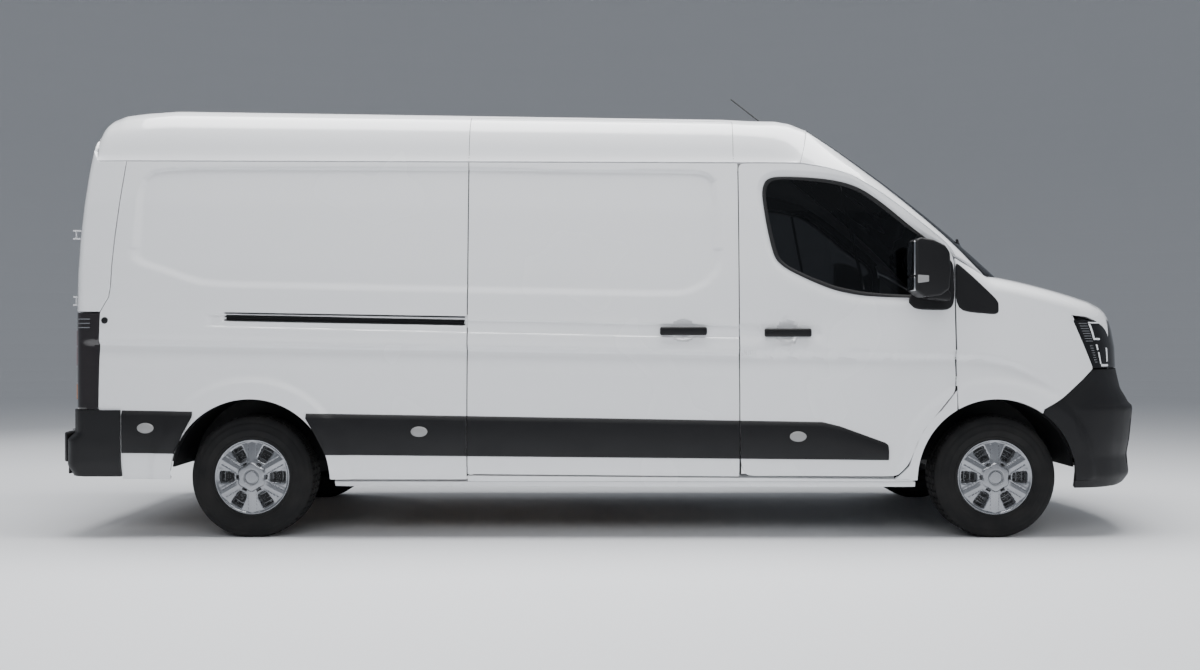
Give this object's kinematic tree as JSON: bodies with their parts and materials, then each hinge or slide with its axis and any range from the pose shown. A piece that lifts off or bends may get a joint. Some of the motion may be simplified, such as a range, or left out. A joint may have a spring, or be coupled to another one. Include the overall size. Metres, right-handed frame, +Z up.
{
  "type": "panel van",
  "caption": "Long wheelbase panel van with a medium roof, side sliding door, hinged cab and rear doors, bonnet, steering and rolling wheels.",
  "frame": {"origin": "on the ground under the middle of the vehicle's outer box", "axes": "+X forward, +Y to the vehicle's left, +Z up"},
  "size_m": [6.315, 2.52, 2.6812],
  "materials": {
    "paint": "gloss",
    "inner_paint": "satin",
    "glass": "gloss",
    "lamp_clear": "gloss",
    "lamp_red": "gloss",
    "black_plastic": "textured",
    "cab_plastic": "textured",
    "seat_fabric": "woven",
    "tyre": "matt",
    "wheel_silver": "satin",
    "chassis_black": "matt",
    "exhaust_steel": "dull",
    "engine_metal": "rough",
    "bare_steel": "satin"
  },
  "bodies": {
    "body": {"roof": "paint", "side_panel_left": "paint", "side_panel_right": "paint", "rear_corner_posts": "paint", "sliding_door": "paint", "windscreen_pillars": "paint", "cab_frame": "inner_paint", "load_floor": "inner_paint", "cab_floor": "inner_paint", "bulkhead": "inner_paint", "front_wings": "paint", "front_bumper": "black_plastic", "grille": "black_plastic", "headlights": "lamp_clear", "windscreen": "glass", "scuttle_panel": "black_plastic", "tail_lamps": "lamp_red", "rear_bumper": "black_plastic", "body_cladding": "black_plastic", "dashboard": "cab_plastic", "cab_seats": "seat_fabric", "engine_block": "engine_metal", "front_suspension": "chassis_black", "rear_axle": "chassis_black", "chassis_frame": "chassis_black", "fuel_tank": "black_plastic", "exhaust": "exhaust_steel", "wheel_housings": "black_plastic", "aerial": "black_plastic", "door_hinges": "bare_steel"},
    "bonnet": {"bonnet": "paint"},
    "cab_door_left": {"cab_door_left": "paint", "door_glass_left": "glass", "mirror_left": "black_plastic"},
    "cab_door_right": {"cab_door_right": "paint", "door_glass_right": "glass", "mirror_right": "black_plastic"},
    "rear_door_left": {"rear_door_left": "paint"},
    "rear_door_right": {"rear_door_right": "paint"},
    "knuckle_left": {"knuckle_left": "bare_steel"},
    "knuckle_right": {"knuckle_right": "bare_steel"},
    "steering_wheel": {"steering_wheel": "cab_plastic"},
    "wheel_front_left": {"rim_front_left": "wheel_silver", "tyre_front_left": "tyre"},
    "wheel_front_right": {"rim_front_right": "wheel_silver", "tyre_front_right": "tyre"},
    "wheel_rear_left": {"rim_rear_left": "wheel_silver", "tyre_rear_left": "tyre"},
    "wheel_rear_right": {"rim_rear_right": "wheel_silver", "tyre_rear_right": "tyre"}
  },
  "joints": [
    {"name": "cab_door_right_hinge", "type": "hinge", "parent": "body", "child": "cab_door_right", "pos_m": [1.942, -1.018, 0.96], "axis": [0, 0, 1], "range_deg": [0, 68]},
    {"name": "cab_door_left_hinge", "type": "hinge", "parent": "body", "child": "cab_door_left", "pos_m": [1.942, 1.018, 0.96], "axis": [0, 0, -1], "range_deg": [0, 68]},
    {"name": "rear_door_right_hinge", "type": "hinge", "parent": "body", "child": "rear_door_right", "pos_m": [-3.08621, -0.8685, 1.5], "axis": [0, 0, 1], "range_deg": [0, 180]},
    {"name": "rear_door_left_hinge", "type": "hinge", "parent": "body", "child": "rear_door_left", "pos_m": [-3.08621, 0.8685, 1.5], "axis": [0, 0, -1], "range_deg": [0, 180]},
    {"name": "bonnet_hinge", "type": "hinge", "parent": "body", "child": "bonnet", "pos_m": [2.1885, 0, 1.478], "axis": [0, -1, 0], "range_deg": [0, 40]},
    {"name": "steer_left", "type": "hinge", "parent": "body", "child": "knuckle_left", "pos_m": [2.1685, 0.79, 0.3435], "axis": [0, 0, 1], "range_deg": [-35, 35]},
    {"name": "steer_right", "type": "hinge", "parent": "body", "child": "knuckle_right", "pos_m": [2.1685, -0.79, 0.3435], "axis": [0, 0, 1], "range_deg": [-35, 35]},
    {"name": "steering_wheel_turn", "type": "hinge", "parent": "body", "child": "steering_wheel", "pos_m": [1.6985, 0.43, 1.15], "axis": [-0.9063, 0, 0.4226], "range_deg": [-525, 525]},
    {"name": "roll_front_left", "type": "hinge", "parent": "knuckle_left", "child": "wheel_front_left", "pos_m": [2.1685, 0.875, 0.3435], "axis": [0, 1, 0], "continuous": true},
    {"name": "roll_front_right", "type": "hinge", "parent": "knuckle_right", "child": "wheel_front_right", "pos_m": [2.1685, -0.875, 0.3435], "axis": [0, 1, 0], "continuous": true},
    {"name": "roll_rear_left", "type": "hinge", "parent": "body", "child": "wheel_rear_left", "pos_m": [-2.0465, 0.865, 0.3435], "axis": [0, 1, 0], "continuous": true},
    {"name": "roll_rear_right", "type": "hinge", "parent": "body", "child": "wheel_rear_right", "pos_m": [-2.0465, -0.865, 0.3435], "axis": [0, 1, 0], "continuous": true}
  ],
  "couplings": [
    {"joint": "steer_right", "follows": "steer_left", "ratio": 1},
    {"joint": "steering_wheel_turn", "follows": "steer_left", "ratio": 15}
  ]
}
